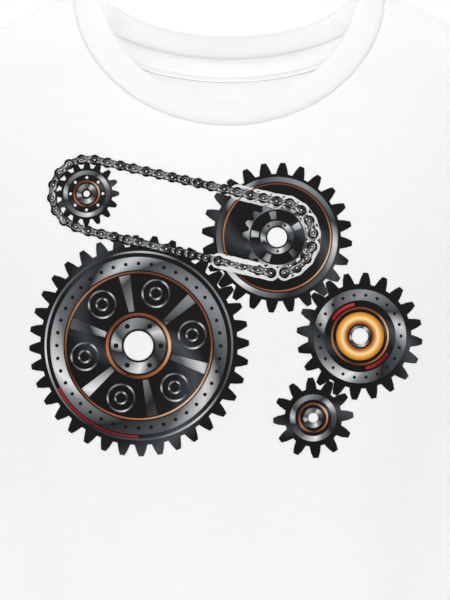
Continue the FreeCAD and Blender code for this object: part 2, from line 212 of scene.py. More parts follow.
def body_cut(neck_drop):
    """A body panel's outline in the flat cut, round from the left neck end by way of the hem."""
    quarter = math.pi / 2
    shoulder, side = run(0, SHOULDER, 0.127), run(UNDERARM, LENGTH, LENGTH - UNDERARM)
    across, armhole = armhole_at(np.cos(np.linspace(0, math.pi, ARMHOLE_STEPS + 1)[:-1]))
    armhole_turn = np.arcsin(np.clip(across / oval_at(armhole)[:, 0], -1, 1))
    hem = run(quarter, 0, 0.275)
    turns = [quarter + 0 * shoulder, armhole_turn, quarter + 0 * side, hem]
    drops = [shoulder, armhole, side, LENGTH + 0 * hem]
    left = np.stack([np.concatenate(turns), np.concatenate(drops)], 1)
    right = left[::-1] * (-1, 1)
    round_neck = run(-quarter, quarter, 0.36)[1:]
    neck_drops = neck_drop * np.cos(round_neck)
    neck_turns = np.arcsin(NECK_HALF_WIDTH * np.sin(round_neck) / oval_at(neck_drops)[:, 0])
    neck = np.stack([neck_turns, neck_drops], 1)
    return body_flat(*np.concatenate([left, [(0, LENGTH)], right, neck]).T)


def sleeve_cut():
    """The sleeve's outline in its flat cut: cap, back underarm seam, hem, front underarm seam."""
    cap = np.linspace(-math.pi, math.pi, 2 * ARMHOLE_STEPS + 1)
    shares = np.linspace(0, 1, max(2, round(LINE_LENGTHS[0] / SPACING)) + 1)
    seam_up = sleeve_flat(np.full_like(shares, math.pi), shares)[1:-1, 1]
    hem_up = run(SLEEVE_HEM, 0, SLEEVE_HEM)
    up = np.concatenate([seam_up, hem_up])
    around = np.linspace(math.pi, -math.pi, 2 * round(0.4 / SPACING / 2) + 1) * ARM_GIRTH
    edge = math.pi * ARM_GIRTH
    pieces = [
        sleeve_flat(cap, 0 * cap),
        np.stack([np.full_like(up, edge), up], 1),
        np.stack([around, 0 * around], 1),
        np.stack([np.full_like(up, -edge), up[::-1]], 1),
    ]
    return np.concatenate(pieces)


cuts = {
    "front_panel": body_cut(FRONT_NECK),
    "back_panel": body_cut(BACK_NECK),
    "left_sleeve": sleeve_cut(),
}
flats, laid, faces_of = {}, {}, {}
for name, outline in cuts.items():
    flats[name], faces_of[name] = filled(outline)
laid["front_panel"] = body_from_flat(flats["front_panel"], -1)
laid["back_panel"] = body_from_flat(flats["back_panel"], 1)
laid["left_sleeve"] = sleeve_from_flat(flats["left_sleeve"])
faces_of["front_panel"] = faces_of["front_panel"][:, ::-1]
flats["right_sleeve"] = flats["left_sleeve"] * (-1, 1)
faces_of["right_sleeve"] = faces_of["left_sleeve"][:, ::-1]
laid["right_sleeve"] = laid["left_sleeve"] * (-1, 1, 1)

# The seams: points that two pieces share become one, and the shirt is one sewn cloth.
loose = np.concatenate(list(laid.values()))
tree = KDTree(len(loose))
for number, point in enumerate(loose):
    tree.insert(point, number)
tree.balance()
partner = np.array([min(found[1] for found in tree.find_range(point, 1e-5)) for point in loose])
kept, sewn_from_loose = np.unique(partner, return_inverse=True)
sewn = loose[kept]
place_of, first = {}, 0
for name, points in laid.items():
    place_of[name] = sewn_from_loose[first : first + len(points)]
    first += len(points)
sewn_faces = np.concatenate([place_of[name][faces_of[name]] for name in laid])


def mesh_object(name, points, faces):
    """A new object with a mesh of those points and faces, smooth all over."""
    mesh = bpy.data.meshes.new(name)
    corners = [tuple(int(corner) for corner in face) for face in faces]
    mesh.from_pydata([tuple(point) for point in points], [], corners)
    mesh.shade_smooth()
    piece = bpy.data.objects.new(name, mesh)
    bpy.context.scene.collection.objects.link(piece)
    return piece


def point_normals(points, faces):
    """The cloth's outward direction at each of its points."""
    corners = points[faces]
    across = np.cross(corners[:, 1] - corners[:, 0], corners[:, 2] - corners[:, 0])
    normals = np.zeros_like(points)
    for corner in range(3):
        np.add.at(normals, faces[:, corner], across)
    return normals / np.linalg.norm(normals, axis=1)[:, None]


# How the cloth hangs: it rests on a wearer's shoulders, chest and upper arms, which aren't part of
# the shirt, and falls free below them. It is let go on a hidden form, then the form is taken away.
# The gaps between the hidden body and the cloth are given at several drops below the neck.
FORM_GAPS = [(0.0, 0.006), (0.1, 0.006), (0.18, 0.008), (0.26, 0.016), (0.36, 0.03), (0.72, 0.045)]
FORM_ROWS, FORM_COLUMNS, FORM_TOP = 60, 64, -0.012
ARM_ROWS, ARM_COLUMNS = 30, 32
ARM_HALF_HEIGHT, ARM_HALF_DEPTH, ARM_GAP = 0.050, 0.040, 0.006
HANG_FRAMES = 32
MOST_MOVED = 0.020
FALL_KEPT = 0.3  # how much of the upright part of a move is kept
FRONT_STILL = 0.85  # how much of a move the front of the chest leaves out
HELD_MARGIN = 0.08  # how far past the neckline the collar holds the cloth, in its own radii


def wrapped(mesh, rows, columns, place):
    """A sheet of faces bent to place(row, column), its columns closed to a ring."""
    bmesh.ops.create_grid(mesh, x_segments=rows - 1, y_segments=columns - 1, size=0.5)
    mesh.verts.ensure_lookup_table()
    for vertex in mesh.verts:
        row = round((vertex.co.x + 0.5) * (rows - 1))
        column = round((vertex.co.y + 0.5) * (columns - 1))
        vertex.co = place(row, column)
    bmesh.ops.remove_doubles(mesh, verts=mesh.verts, dist=1e-6)
    bmesh.ops.recalc_face_normals(mesh, faces=mesh.faces)


def body_form(row, column):
    """A point of the hidden body: rows from its top down, columns round it."""
    drop = FORM_TOP + 0.752 * row / FORM_ROWS
    turn = 2 * math.pi * column / FORM_COLUMNS
    gap = np.interp(drop, *zip(*FORM_GAPS))
    half_width, front, back = oval_at(min(max(drop, FORM_TOP), LENGTH))[0] - gap
    depth = front if math.cos(turn) > 0 else back
    shrunk = max(0.0, min(1.0, row / 3))
    across, along = half_width * math.sin(turn) * shrunk, -depth * math.cos(turn) * shrunk
    return Vector((across, along, -drop))


def arm_form(row, column):
    """A point of the hidden left upper arm: rows along it, from inside the shoulder outwards."""
    share, turn = -0.15 + 1.6 * row / ARM_ROWS, 2 * math.pi * column / ARM_COLUMNS
    rise = math.sin(math.pi * min(max(share, 0), 1))
    top = shoulder_point.lerp(hem_top, share) + Vector((0, 0, 1)) * CAP_RISE * rise
    middle = top - arm_up * (ARM_HALF_HEIGHT + ARM_GAP)
    closed = min(1.0, row / 2, (ARM_ROWS - row) / 2)
    up, across = ARM_HALF_HEIGHT * math.cos(turn) * closed, ARM_HALF_DEPTH * math.sin(turn) * closed
    return middle + arm_up * up + Vector((0, across, 0))


def hidden_form(name, rows, columns, place, mirrored):
    """A closed form for the cloth to rest on."""
    mesh = bmesh.new()
    wrapped(mesh, rows + 1, columns + 1, place)
    bmesh.ops.remove_doubles(mesh, verts=mesh.verts, dist=1e-5)
    if mirrored:
        bmesh.ops.scale(mesh, verts=mesh.verts, vec=(-1, 1, 1))
    bmesh.ops.recalc_face_normals(mesh, faces=mesh.faces)
    form = bpy.data.objects.new(name, bpy.data.meshes.new(name))
    mesh.to_mesh(form.data)
    mesh.free()
    bpy.context.scene.collection.objects.link(form)
    form.modifiers.new("touch", "COLLISION")
    form.collision.thickness_outer = 0.002
    form.collision.cloth_friction = 8
    return form


def sides_of(faces):
    """The sides of all triangles, each as two points, the lower number first."""
    return np.sort(np.concatenate([faces[:, [0, 1]], faces[:, [1, 2]], faces[:, [2, 0]]]), 1)


def smoothed(points, faces, rounds, fixed):
    """Points after rounds of moving each half way to the middle of its neighbours."""
    edges = np.unique(sides_of(faces), axis=0)
    counts = np.bincount(edges.ravel(), minlength=len(points))[:, None]
    for _ in range(rounds):
        total = np.zeros_like(points)
        np.add.at(total, edges[:, 0], points[edges[:, 1]])
        np.add.at(total, edges[:, 1], points[edges[:, 0]])
        moved = (points + total / counts) / 2
        moved[fixed] = points[fixed]
        points = moved
    return points


def hung():
    """The sewn cloth as it comes to rest on the hidden form."""
    forms = [
        hidden_form("body_form", FORM_ROWS, FORM_COLUMNS, body_form, False),
        hidden_form("left_arm_form", ARM_ROWS, ARM_COLUMNS, arm_form, False),
        hidden_form("right_arm_form", ARM_ROWS, ARM_COLUMNS, arm_form, True),
    ]
    cloth = mesh_object("cloth_let_go", sewn, sewn_faces)
    drops = -sewn[:, 2]
    neck_drop = np.where(sewn[:, 1] < 0, FRONT_NECK, BACK_NECK)
    from_neck = np.hypot(sewn[:, 0] / NECK_HALF_WIDTH, drops / neck_drop) - 1
    held = cloth.vertex_groups.new(name="held")
    for number in np.flatnonzero(from_neck < HELD_MARGIN):
        weight = np.clip(1.2 - from_neck[number] / HELD_MARGIN, 0, 1)
        held.add([int(number)], float(weight), "REPLACE")
    settings = cloth.modifiers.new("cloth", "CLOTH").settings
    settings.quality, settings.mass, settings.air_damping = 6, 0.15, 1.0
    settings.tension_stiffness = settings.compression_stiffness = 20
    settings.shear_stiffness, settings.bending_stiffness = 5, 0.6
    snug = cloth.vertex_groups.new(name="snug")
    for number, share in enumerate(np.clip((0.36 - drops) / 0.22, 0, 1)):
        snug.add([number], float(share), "REPLACE")
    settings.vertex_group_mass, settings.vertex_group_shrink = "held", "snug"
    settings.shrink_min, settings.shrink_max = -0.02, 0.0
    touch = cloth.modifiers["cloth"].collision_settings
    touch.distance_min, touch.use_self_collision = 0.002, False
    for frame_number in range(1, HANG_FRAMES + 1):
        bpy.context.scene.frame_set(frame_number)
    settled_cloth = cloth.evaluated_get(bpy.context.evaluated_depsgraph_get())
    flat = np.empty(len(sewn) * 3, np.float32)
    settled_cloth.data.vertices.foreach_get("co", flat)
    bpy.context.scene.frame_set(1)
    for thing in [cloth, *forms]:
        bpy.data.objects.remove(thing)
    moved = flat.reshape(-1, 3).astype(float) - sewn
    # The front stays nearly as it was laid out, since the photograph shows the chest smooth.
    in_front = (sewn[:, 1] < 0) * np.clip((0.225 - np.abs(sewn[:, 0])) / 0.09, 0, 1)
    moved[:, 2] *= FALL_KEPT
    far = np.linalg.norm(moved, axis=1)
    most = (1 - FRONT_STILL * in_front) * MOST_MOVED
    moved *= (most * np.tanh(far / MOST_MOVED) / np.maximum(far, 1e-9))[:, None]
    return smoothed(sewn + moved, sewn_faces, 2, from_neck < 0.01)


# Faint upright folds of the front: across and half width in metres, and the rise as a share of the
# height that the folds have grown to at each drop below the neck.
FOLDS = [
    (-0.135, 0.020, -1.0), (-0.104, 0.018, 0.8), (-0.076, 0.018, -0.9), (-0.026, 0.026, 0.7),
    (0.026, 0.022, -0.9), (0.084, 0.028, 0.9), (0.138, 0.022, -1.0),
]
FOLD_GROWTH = [(0, 0), (0.10, 0), (0.20, 0.0015), (0.32, 0.0046), (0.44, 0.0080), (0.72, 0.0100)]
FOLD_LEAN, LEAN_STEP, LEAN_MIDDLE = 0.10, 2.1, 0.45  # each leans its own way about a middle drop
NECK_TURN_IN = 0.0012
settled = hung()
drops = -sewn[:, 2]
height = np.interp(drops, *zip(*FOLD_GROWTH))
for number, (across, half_width, rise) in enumerate(FOLDS):
    lean = FOLD_LEAN * math.sin(LEAN_STEP * number) * (drops - LEAN_MIDDLE)
    share = np.exp(-(((sewn[:, 0] - across - lean) / half_width) ** 2))
    settled[:, 1] -= (sewn[:, 1] < 0) * rise * share * height
# At the front neckline the cloth's edge turns down into the seam, deepest in the middle.
from_neck = np.hypot(sewn[:, 0] / NECK_HALF_WIDTH, drops / FRONT_NECK)
turned_in = (sewn[:, 1] < 0) * (from_neck < 1.01) * np.clip(drops / FRONT_NECK, 0, 1) ** 2
settled -= point_normals(settled, sewn_faces) * turned_in[:, None] * NECK_TURN_IN
settled_normals = point_normals(settled, sewn_faces)
laid_tree = BVHTree.FromPolygons([Vector(point) for point in sewn], sewn_faces.tolist())
ROUNDING = 0.75  # how far the cloth between its points bulges to the planes across their normals


def carried(places, out=0.0):
    """Places on the cloth as it was laid out, where they are now that it hangs, out from its face."""
    spots = []
    for place in places:
        spot, _, face, _ = laid_tree.find_nearest(place)
        corners = sewn_faces[face]
        a, b, c = (Vector(sewn[corner]) for corner in corners)
        whole = (b - a).cross(c - a)
        shares = [(c - b).cross(spot - b).dot(whole), (a - c).cross(spot - c).dot(whole)]
        shares = [share / whole.length_squared for share in shares]
        shares.append(1 - sum(shares))
        ends = settled[corners]
        normals = settled_normals[corners]
        flat = np.array(shares) @ ends
        planes = [flat - ((flat - end) @ normal) * normal for end, normal in zip(ends, normals)]
        rounded = sum(share * plane for share, plane in zip(shares, planes))
        normal = np.array(shares) @ normals
        normal /= np.linalg.norm(normal)
        spots.append((flat + (rounded - flat) * ROUNDING + normal * out, normal))
    return spots


def refined(points, normals, faces, flat):
    """The cloth with each triangle made four, rounded between its points."""
    edges, places = np.unique(sides_of(faces), axis=0, return_inverse=True)
    places = places.reshape(3, -1).T + len(points)
    a, b = edges.T
    run_up = points[b] - points[a]
    rises = [(run_up * normals[end]).sum(1)[:, None] * normals[end] for end in (a, b)]
    middles = (points[a] + points[b]) / 2 - (rises[0] - rises[1]) * ROUNDING / 4
    quarters = [
        np.stack([faces[:, 0], places[:, 0], places[:, 2]], 1),
        np.stack([places[:, 0], faces[:, 1], places[:, 1]], 1),
        np.stack([places[:, 2], places[:, 1], faces[:, 2]], 1),
        places,
    ]
    flat = np.concatenate([flat, (flat[a] + flat[b]) / 2])
    return np.concatenate([points, middles]), np.concatenate(quarters), flat


def linear(code):
    """The linear colour of an sRGB hex value."""
    channels = [int(code[start : start + 2], 16) / 255 for start in (1, 3, 5)]
    return [c / 12.92 if c <= 0.04045 else ((c + 0.055) / 1.055) ** 2.4 for c in channels] + [1]


def node(material, kind, settings=None, inputs=None, stops=(), into=None):
    """A node with its settings, its inputs, a ramp's stops, and where its first output goes."""
    added = material.node_tree.nodes.new("ShaderNode" + kind)
    for name, value in (settings or {}).items():
        setattr(added, name, value)
    for name, value in (inputs or {}).items():
        if isinstance(value, bpy.types.NodeSocket):
            material.node_tree.links.new(value, added.inputs[name])
        else:
            added.inputs[name].default_value = value
    if stops:
        elements = added.color_ramp.elements
        while len(elements) < len(stops):
            elements.new(0.5)
        for element, (at, code) in zip(elements, stops):
            element.position, element.color = at, linear(code)
    if into:
        material.node_tree.links.new(added.outputs[0], into)
    return added


def new_material(name, colour, roughness, **values):
    """A material with only its shader, and that shader."""
    material = bpy.data.materials.new(name)
    material.use_nodes = True
    shader = material.node_tree.nodes["Principled BSDF"]
    shader.inputs["Base Color"].default_value = linear(colour)
    shader.inputs["Roughness"].default_value = roughness
    for socket, value in values.items():
        shader.inputs[socket.replace("_", " ")].default_value = value
    return material, shader


# Single jersey in the flat cut's own millimetres: the face shows columns of small V stitches, drawn
# about twice as wide as is usual, so that they show at all, and now and then a thicker yarn.
ONE_MM_BANDS = 0.314  # a wave texture's scale for bands a millimetre apart
JERSEY_COLUMN = 1.4
RELIEF = 0.0004


def knitted(material, shader, strength):
    """Gives a material the jersey's relief, from its UV map in millimetres, and returns the slubs."""
    place = node(material, "UVMap", {"uv_map": "cut"}).outputs["UV"]
    values = {"Vector": place, "Scale": ONE_MM_BANDS / JERSEY_COLUMN}
    columns = node(material, "TexWave", {"bands_direction": "X"}, values)
    stretched = node(material, "Mapping", inputs={"Vector": place, "Scale": (0.05, 0.5, 1)})
    slub_values = {"Vector": stretched.outputs["Vector"], "Scale": 1.0, "Detail": 2.5, "Roughness": 0.6}
    slub = node(material, "TexNoise", inputs=slub_values).outputs["Fac"]
    values = {0: columns.outputs["Fac"], 1: 0.10, 2: slub}
    relief = node(material, "Math", {"operation": "MULTIPLY_ADD"}, values)
    values = {"Strength": strength, "Distance": RELIEF, "Height": relief.outputs[0]}
    node(material, "Bump", inputs=values, into=shader.inputs["Normal"])
    return slub


# Thin white cotton looks dull and soft, with a faint sheen where it turns away, and lets some light
# through. The slubs are a touch lighter or darker than the rest.
SOFT = {"Sheen_Weight": 0.12, "Sheen_Roughness": 0.5}
SOFT |= {"Subsurface_Weight": 0.8, "Subsurface_Radius": (1, 1, 1), "Subsurface_Scale": 0.002}
jersey, jersey_shader = new_material("cotton_jersey_knit", "#F6F6F6", 0.86, **SOFT)
slub = knitted(jersey, jersey_shader, 0.11)
SLUB_STOPS = [(0.34, "#F6F6F6"), (0.5, "#F7F7F7"), (0.66, "#F8F8F8")]
into = jersey_shader.inputs["Base Color"]
node(jersey, "ValToRGB", inputs={"Fac": slub}, stops=SLUB_STOPS, into=into)

# The body panels and sleeves, each its own cut piece with its own UV map in millimetres. They meet
# at their seams, the body hangs from the collar, and the sleeves hang from the body.
SHEETS = {
    "front_panel": ("front_cloth", ["collar"]),
    "back_panel": ("back_cloth", ["collar"]),
    "left_sleeve": ("left_sleeve_cloth", ["front_cloth", "back_cloth"]),
    "right_sleeve": ("right_sleeve_cloth", ["front_cloth", "back_cloth"]),
}
for name in laid:
    place = place_of[name]
    points, faces, flat = refined(settled[place], settled_normals[place], faces_of[name], flats[name])
    piece = mesh_object(SHEETS[name][0], points, faces)
    layer = piece.data.uv_layers.new(name="cut")
    corner_places = flat[faces.ravel()] * 1000
    layer.data.foreach_set("uv", corner_places.ravel())
    piece.data.materials.append(jersey)
    wall = piece.modifiers.new("thickness", "SOLIDIFY")
    wall.thickness, wall.offset = CLOTH, -1
    wall.use_even_offset = False
    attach(piece, "root")
    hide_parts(name)

# The collar: one ring of 1 x 1 cotton rib, folded double with its fold upwards and sewn to the
# neckline. It is full and round, and its foot rolls down over the seam. Leans and section are in mm.
RIB_STATIONS = 260
RIB_WIDTH = 2.0  # of one rib as drawn
FRONT_LEAN, BACK_LEAN, SIDE_LEAN = (12, 16), (4, 19.6), (17, 10.5)
RIB_SECTION = [
    (-0.8, -1.6), (0.0, -1.0), (0.9, -0.55), (1.9, 0.0), (2.75, 0.8), (3.4, 1.9),
    (3.85, 3.3), (4.1, 5.2), (4.15, 7.5), (4.0, 10.0), (3.65, 13.0), (3.1, 16.0),
    (2.5, 18.3), (1.7, 19.8), (0.9, 20.5), (0.2, 20.2), (-0.25, 19.0), (-0.5, 16.5),
    (-0.6, 12.0), (-0.6, 7.0), (-0.75, 3.0), (-1.3, -1.6),
]


def neckline_place(turn):
    """The neckline's point on the cloth as laid out, at an angle round the neck from the front."""
    facing, drop = (-1, FRONT_NECK) if math.cos(turn) > 0 else (1, BACK_NECK)
    across, drop = NECK_HALF_WIDTH * math.sin(turn), drop * abs(math.cos(turn))
    return Vector((across, depth_at(across, drop, facing)[0], -drop))


def rib_lean(turn):
    """The direction from the seam to the rib's fold."""
    back, up = FRONT_LEAN if math.cos(turn) > 0 else BACK_LEAN
    level = math.cos(turn) ** 2
    rise = up * level + SIDE_LEAN[1] * (1 - level)
    return Vector((-SIDE_LEAN[0] * math.sin(turn), back * math.cos(turn), rise)).normalized()


def finished(mesh, name, material):
    """A new object from a bmesh, smooth all over."""
    piece = bpy.data.objects.new(name, bpy.data.meshes.new(name))
    mesh.to_mesh(piece.data)
    mesh.free()
    piece.data.shade_smooth()
    piece.data.materials.append(material)
    bpy.context.scene.collection.objects.link(piece)
    return piece


def bent(name, rows, columns, place, material, open_ends=True):
    """A piece of faces bent to place(row, column), closed round its columns, its ends filled in."""
    mesh = bmesh.new()
    wrapped(mesh, rows, columns, place)
    if open_ends:
        bmesh.ops.holes_fill(mesh, edges=mesh.edges, sides=0)
        bmesh.ops.recalc_face_normals(mesh, faces=mesh.faces)
    return finished(mesh, name, material)


def mapped(piece, spot):
    """Gives a piece a UV map in millimetres, from a function of each point."""
    layer = piece.data.uv_layers.new(name="cut")
    for loop in piece.data.loops:
        layer.data[loop.index].uv = spot(piece.data.vertices[loop.vertex_index].co)


rib_turns = [2 * math.pi * number / RIB_STATIONS for number in range(RIB_STATIONS)]
rib_foot = [Vector(spot) for spot, _ in carried([neckline_place(turn) for turn in rib_turns])]


def rib_place(station, corner):
    """A point of the rib's section at one of its stations, both counted round and round."""
    station %= RIB_STATIONS
    thickness, height = RIB_SECTION[corner % len(RIB_SECTION)]
    if thickness > 0:
        thickness *= 0.6 + 0.4 * math.cos(rib_turns[station]) ** 2
    lean = rib_lean(rib_turns[station])
    ahead = rib_foot[(station + 1) % RIB_STATIONS] - rib_foot[station - 1]
    return rib_foot[station] + (lean * height + ahead.cross(lean).normalized() * thickness) / 1000


# The rib is as white and dull as the jersey, with upright ribs that only just show.
rib, rib_shader = new_material("cotton_rib_knit", "#F5F5F5", 0.85, **SOFT)
place = node(rib, "UVMap", {"uv_map": "cut"}).outputs["UV"]
values = {"Vector": place, "Scale": ONE_MM_BANDS / RIB_WIDTH}
ribs = node(rib, "TexWave", {"bands_direction": "X"}, values)
values = {"Strength": 0.07, "Distance": RELIEF, "Height": ribs.outputs["Fac"]}
node(rib, "Bump", inputs=values, into=rib_shader.inputs["Normal"])

collar = bent("collar", RIB_STATIONS + 1, len(RIB_SECTION) + 1, rib_place, rib, open_ends=False)
mapped(collar, lambda point: (math.atan2(point.x, -point.y - 0.01) * 100, point.z * 1000))
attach(collar, "root")
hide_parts("collar_rib")

# The neck tape: a strip of bleached jersey, sewn over the back neck seam on the inside, nearly from
# shoulder seam to shoulder seam. Its section is in mm, down from the seam, or up the collar's wall
# where negative, and inwards.
TAPE_HALF_TURN = math.radians(80)
TAPE_STATIONS = 121
TAPE_SECTION = [
    (-2.9, 0.8), (-2.9, 1.1), (-2.5, 1.45), (-1.2, 1.8), (0.6, 2.0), (3.0, 2.05),
    (6.0, 2.05), (8.6, 1.9), (9.4, 1.7), (10.2, 1.9), (11.3, 2.1), (12.1, 2.1),
    (12.5, 1.9), (12.1, 1.5), (10.6, 0.9),
]
tape_turns = np.linspace(-TAPE_HALF_TURN, TAPE_HALF_TURN, TAPE_STATIONS)


def tape_spot(turn, width, inwards):
    """A point inside the back, so far below the neck seam and inwards of the cloth's face."""
    if width < 0:
        around = math.pi - turn
        foot, lean = Vector(carried([neckline_place(around)])[0][0]), rib_lean(around)
        ahead = neckline_place(around + 0.01) - neckline_place(around - 0.01)
        outwards = ahead.cross(lean).normalized()
        return foot + (lean * -width - outwards * inwards) / 1000, outwards
    across = (NECK_HALF_WIDTH + width / 1000) * math.sin(turn)
    drop = (BACK_NECK + width / 1000) * math.cos(turn)
    laid_place = Vector((across, depth_at(across, drop, 1)[0], -drop))
    return carried([laid_place], -inwards / 1000)[0]


def tape_place(station, corner):
    """A point of the tape's section at one of its stations."""
    width, inwards = TAPE_SECTION[corner % len(TAPE_SECTION)]
    return tape_spot(tape_turns[station], width, inwards)[0]


# The tape looks a little whiter than the shirt.
tape_jersey, tape_shader = new_material("bleached_cotton_jersey", "#FAFAFA", 0.8, Sheen_Weight=0.15)
knitted(tape_jersey, tape_shader, 0.10)
tape = bent("neck_tape_strip", TAPE_STATIONS, len(TAPE_SECTION) + 1, tape_place, tape_jersey)
mapped(tape, lambda point: (point.x * 1000, point.z * 1000))
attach(tape, "root")
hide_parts("neck_tape")

# A painted shadow line along the tape's lower edge, from end to end: a thin grey tube that stands in
# for the shade under the tape's edge, and shows as a thin line a little darker than the cloth.
SHADOW_LINE_RADIUS, SHADOW_LINE_SIDES = 0.38, 6  # radius in millimetres, and sides of its section


def painted_shadow_place(station, corner):
    """A point of the painted shadow line's round section."""
    angle = 2 * math.pi * corner / SHADOW_LINE_SIDES
    width, inwards = 12.75 + SHADOW_LINE_RADIUS * math.sin(angle), 1.25 + SHADOW_LINE_RADIUS * math.cos(angle)
    return tape_spot(tape_turns[station], width, inwards)[0]


# Its grey colour is painted shade, standing in for the shadow under the tape's lower edge.
painted_shadow_grey, _ = new_material("painted_shadow_grey_line", "#C2C2C2", 0.6, Sheen_Weight=0.1)
painted_shadow_line = bent("neck_tape_painted_shadow_line", TAPE_STATIONS, SHADOW_LINE_SIDES + 1, painted_shadow_place, painted_shadow_grey)
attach(painted_shadow_line, "root")

# The stitches: white polyester thread, 0.42 mm thick, in stitches 2.5 mm long that taper into the
# cloth at their ends. Twin rows run round the hems, and one along the neck tape.
STITCH_STEP, STITCH_LENGTH, THREAD = 0.0031, 0.0025, 0.00042
ROW_GAP = 0.0055
thread, _ = new_material("polyester_thread", "#EFEFEE", 0.55, Sheen_Weight=0.1)


def stitch_row(mesh, spots):
    """Stitches along a line of spots, each a place and the cloth's direction there."""
    places = [Vector(place) for place, _ in spots]
    normals = [Vector(normal) for _, normal in spots]
    travelled, due = 0.0, STITCH_STEP / 2
    for start, end, normal in zip(places, places[1:], normals):
        step = end - start
        while due <= travelled + step.length:
            middle = start + step * ((due - travelled) / step.length)
            along = step.normalized()
            side = normal.cross(along).normalized()
            frame_of_stitch = Matrix((along, side, along.cross(side))).transposed().to_4x4()
            scale = Matrix.Diagonal((STITCH_LENGTH, THREAD, THREAD, 1))
            where = Matrix.Translation(middle) @ frame_of_stitch @ scale
            bmesh.ops.create_icosphere(mesh, subdivisions=1, radius=0.5, matrix=where)
            due += STITCH_STEP
        travelled += step.length


def stitched(name, rows):
    """A piece of several stitch rows."""
    mesh = bmesh.new()
    for row in rows:
        stitch_row(mesh, row)
    piece = finished(mesh, name, thread)
    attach(piece, "root")


ON_CLOTH = 0.00008  # the thread's middle above the cloth's face
rows = []
for above in (HEM, HEM - ROW_GAP):
    for facing in (-1, 1):
        turns = np.linspace(-math.pi / 2, math.pi / 2, 200)
        line = body_point(turns, np.full_like(turns, LENGTH - above), facing)
        rows.append(carried([Vector(point) for point in line], ON_CLOTH))
stitched("body_hem_stitches", rows)
for side, sign in (("left", 1), ("right", -1)):
    rows = []
    for above in (SLEEVE_HEM, SLEEVE_HEM - ROW_GAP):
        turns = np.linspace(-math.pi, math.pi, 160) * ARM_GIRTH
        line = sleeve_from_flat(np.stack([turns, np.full_like(turns, above)], 1)) * (sign, 1, 1)
        rows.append(carried([Vector(point) for point in line], ON_CLOTH))
    stitched(f"{side}_sleeve_hem_stitches", rows)
row = [tape_spot(turn, 9.4, 1.8) for turn in tape_turns]
stitched("neck_tape_stitches", [row])

# The chest print: a machine motif in transfer inks, 270 mm wide, a train of meshing gear wheels and
# a chain drive in black, steel greys, copper, amber and a little red. Each ink is a thin film over
# the one before, pressed into the knit, so the cloth's own relief shows through it.
PRINT_MIDDLE = -0.224
INK_FILM = 0.00003
ADDENDUM, DEDENDUM = 3.4, 4.4  # of the drawn teeth, in millimetres, as all lengths of the motif
TOOTH_PITCH = 4.0  # pitch circle's diameter for each tooth
RING_STEP = 3.4  # widest strip of faces in a ring, so that it follows the chest


def ink_layer():
    """An empty mesh for one ink, with the places in the print and from each shape's middle."""
    mesh = bmesh.new()
    mesh.loops.layers.uv.new("cut")
    mesh.loops.layers.uv.new("motif")
    return mesh


def pressed(mesh, first, middle, height, turn=0.0):
    """Presses the shapes from the first vertex on to the cloth, round a middle, turned by an angle."""
    mesh.verts.ensure_lookup_table()
    fresh = mesh.verts[first:]
    bmesh.ops.rotate(mesh, verts=fresh, matrix=Matrix.Rotation(-turn, 3, "Y"))
    faces = {face for vertex in fresh for face in vertex.link_faces}
    for face in faces:
        face.normal_update()
    bmesh.ops.reverse_faces(mesh, faces=[face for face in faces if face.normal.y > 0])
    cut, motif = mesh.loops.layers.uv["cut"], mesh.loops.layers.uv["motif"]
    spots = []
    for vertex in fresh:
        x, z = vertex.co.x + middle[0], vertex.co.z + middle[1]
        for loop in vertex.link_loops:
            loop[motif].uv, loop[cut].uv = (vertex.co.x, vertex.co.z), (x, z)
        across, drop = x / 1000, -z / 1000 - PRINT_MIDDLE
        spots.append(Vector((across, depth_at(across, drop, -1)[0], -drop)))
    for vertex, (spot, _) in zip(fresh, carried(spots, height / 1000)):
        vertex.co = spot


def spun(mesh, radii, angle, steps, closed):
    """A flat ring or arc through several radii, with its middle at the origin."""
    ends = [mesh.verts.new((radius, 0, 0)) for radius in radii]
    edges = [mesh.edges.new(pair) for pair in zip(ends, ends[1:])]
    around = {"cent": (0, 0, 0), "axis": (0, -1, 0), "angle": angle, "steps": steps}
    bmesh.ops.spin(mesh, geom=ends + edges, use_merge=closed, **around)


def arc_band(mesh, inner, outer, middle, height, start=0.0, sweep=360.0):
    """Presses a ring, or an arc of it that starts at an angle, in degrees."""
    first = len(mesh.verts)
    radii = np.linspace(inner, outer, max(1, math.ceil((outer - inner) / RING_STEP)) + 1)
    angle = math.radians(sweep)
    steps = max(4, round(abs(angle) * outer / 1.8))
    spun(mesh, radii, angle, steps, sweep == 360.0)
    pressed(mesh, first, middle, height, math.radians(start))


def gear_wheel(mesh, teeth, bore, middle, height, turn, outer=None, depth=ADDENDUM + DEDENDUM):
    """Presses a toothed disc with a bore, a tooth's middle at the angle of its turn."""
    first = len(mesh.verts)
    outer = outer or teeth * TOOTH_PITCH / 2 + ADDENDUM
    root, pitch = outer - depth, outer - depth * 0.45
    disc = np.linspace(bore, root - 0.6, math.ceil((root - bore) / RING_STEP) + 1)
    spun(mesh, [*disc, outer - 1, outer], 2 * math.pi, teeth * 8, True)
    mesh.verts.ensure_lookup_table()
    inside = [pitch - 0.4] * 3 + [root - 0.3] * 2
    flank = [inside, [outer, outer, pitch, root, root]]
    for vertex in mesh.verts[first:]:
        radius = math.hypot(vertex.co.x, vertex.co.z)
        if radius > root - 0.5:
            tooth = math.atan2(vertex.co.z, vertex.co.x) * teeth / (2 * math.pi)
            part = abs((tooth + 0.5) % 1 - 0.5) * 8
            vertex.co *= flank[radius > outer - 0.5][round(part)] / radius
    pressed(mesh, first, middle, height, turn)


